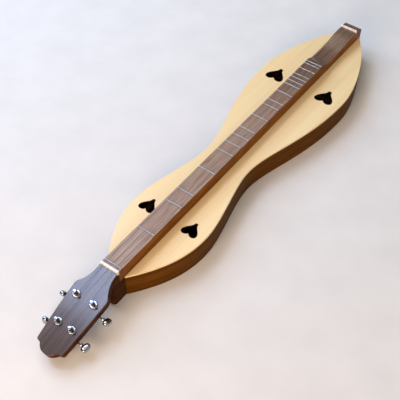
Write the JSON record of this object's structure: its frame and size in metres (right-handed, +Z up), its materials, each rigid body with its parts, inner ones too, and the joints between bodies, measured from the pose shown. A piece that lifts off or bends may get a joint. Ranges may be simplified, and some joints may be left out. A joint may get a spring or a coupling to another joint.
{
  "type": "mountain dulcimer",
  "caption": "Hourglass fretted zither with a raised full-length fretboard, heart sound holes, a strum hollow and worm-geared string tuners that turn.",
  "frame": {"origin": "on the surface under the back, at the middle of the bounding box", "axes": "+X towards the tail end, +Y towards the bass string, +Z up out of the soundboard"},
  "size_m": [0.8618, 0.169, 0.072],
  "materials": {
    "soundboard_spruce": "satin lacquered quarter-sawn spruce",
    "body_walnut": "satin lacquered dark walnut",
    "head_wood": "satin lacquered red-brown walnut",
    "veneer_rosewood": "polished rosewood veneer",
    "fretboard_rosewood": "oiled and rubbed rosewood",
    "inner_wood": "bare spruce and basswood",
    "bone": "polished bone",
    "fret_nickel_silver": "dressed nickel-silver fret wire",
    "tuner_chrome": "chrome plate",
    "string_steel": "plain steel music wire",
    "string_bronze": "bronze-wound wire"
  },
  "bodies": {
    "instrument": {"soundboard": "soundboard_spruce", "back": "body_walnut", "side_bass": "body_walnut", "side_treble": "body_walnut", "head_block": "head_wood", "tail_block": "body_walnut", "headstock": "head_wood", "headstock_veneer": "veneer_rosewood", "fretboard": "fretboard_rosewood", "nut": "bone", "bridge": "bone", "zero_fret": "fret_nickel_silver", "fret_1": "fret_nickel_silver", "fret_2": "fret_nickel_silver", "fret_3": "fret_nickel_silver", "fret_4": "fret_nickel_silver", "fret_5": "fret_nickel_silver", "fret_6": "fret_nickel_silver", "fret_6_half": "fret_nickel_silver", "fret_7": "fret_nickel_silver", "fret_8": "fret_nickel_silver", "fret_9": "fret_nickel_silver", "fret_10": "fret_nickel_silver", "fret_11": "fret_nickel_silver", "fret_12": "fret_nickel_silver", "fret_13": "fret_nickel_silver", "fret_13_half": "fret_nickel_silver", "fret_14": "fret_nickel_silver", "fret_15": "fret_nickel_silver", "fret_16": "fret_nickel_silver", "fret_17": "fret_nickel_silver", "lining_top_bass": "inner_wood", "lining_top_treble": "inner_wood", "lining_back_bass": "inner_wood", "lining_back_treble": "inner_wood", "top_brace_1": "inner_wood", "top_brace_2": "inner_wood", "back_brace_1": "inner_wood", "back_brace_2": "inner_wood", "back_brace_3": "inner_wood", "string_bass": "string_bronze", "tuner_bass_bushing": "tuner_chrome", "tuner_bass_housing": "tuner_chrome", "string_middle": "string_steel", "tuner_middle_bushing": "tuner_chrome", "tuner_middle_housing": "tuner_chrome", "string_melody_inner": "string_steel", "tuner_melody_inner_bushing": "tuner_chrome", "tuner_melody_inner_housing": "tuner_chrome", "string_melody_outer": "string_steel", "tuner_melody_outer_bushing": "tuner_chrome", "tuner_melody_outer_housing": "tuner_chrome"},
    "bass_post": {"tuner_bass_post": "tuner_chrome"},
    "bass_button": {"tuner_bass_button": "tuner_chrome"},
    "middle_post": {"tuner_middle_post": "tuner_chrome"},
    "middle_button": {"tuner_middle_button": "tuner_chrome"},
    "melody_inner_post": {"tuner_melody_inner_post": "tuner_chrome"},
    "melody_inner_button": {"tuner_melody_inner_button": "tuner_chrome"},
    "melody_outer_post": {"tuner_melody_outer_post": "tuner_chrome"},
    "melody_outer_button": {"tuner_melody_outer_button": "tuner_chrome"}
  },
  "joints": [
    {"name": "bass_button_spin", "type": "hinge", "parent": "instrument", "child": "bass_button", "pos_m": [-0.34456, 0.0158, 0.03283], "axis": [0, 1, 0], "continuous": true},
    {"name": "bass_post_spin", "type": "hinge", "parent": "instrument", "child": "bass_post", "pos_m": [-0.34248, 0.0158, 0.05118], "axis": [-0.284, 0, 0.9588], "continuous": true},
    {"name": "middle_button_spin", "type": "hinge", "parent": "instrument", "child": "middle_button", "pos_m": [-0.38847, 0.0127, 0.01982], "axis": [0, 1, 0], "continuous": true},
    {"name": "middle_post_spin", "type": "hinge", "parent": "instrument", "child": "middle_post", "pos_m": [-0.38639, 0.0127, 0.03817], "axis": [-0.284, 0, 0.9588], "continuous": true},
    {"name": "melody_inner_button_spin", "type": "hinge", "parent": "instrument", "child": "melody_inner_button", "pos_m": [-0.38847, -0.0127, 0.01982], "axis": [0, -1, 0], "continuous": true},
    {"name": "melody_inner_post_spin", "type": "hinge", "parent": "instrument", "child": "melody_inner_post", "pos_m": [-0.38639, -0.0127, 0.03817], "axis": [-0.284, 0, 0.9588], "continuous": true},
    {"name": "melody_outer_button_spin", "type": "hinge", "parent": "instrument", "child": "melody_outer_button", "pos_m": [-0.34456, -0.0158, 0.03283], "axis": [0, -1, 0], "continuous": true},
    {"name": "melody_outer_post_spin", "type": "hinge", "parent": "instrument", "child": "melody_outer_post", "pos_m": [-0.34248, -0.0158, 0.05118], "axis": [-0.284, 0, 0.9588], "continuous": true}
  ],
  "couplings": [
    {"joint": "bass_post_spin", "follows": "bass_button_spin", "ratio": 0.071429},
    {"joint": "middle_post_spin", "follows": "middle_button_spin", "ratio": 0.071429},
    {"joint": "melody_inner_post_spin", "follows": "melody_inner_button_spin", "ratio": -0.071429},
    {"joint": "melody_outer_post_spin", "follows": "melody_outer_button_spin", "ratio": -0.071429}
  ]
}
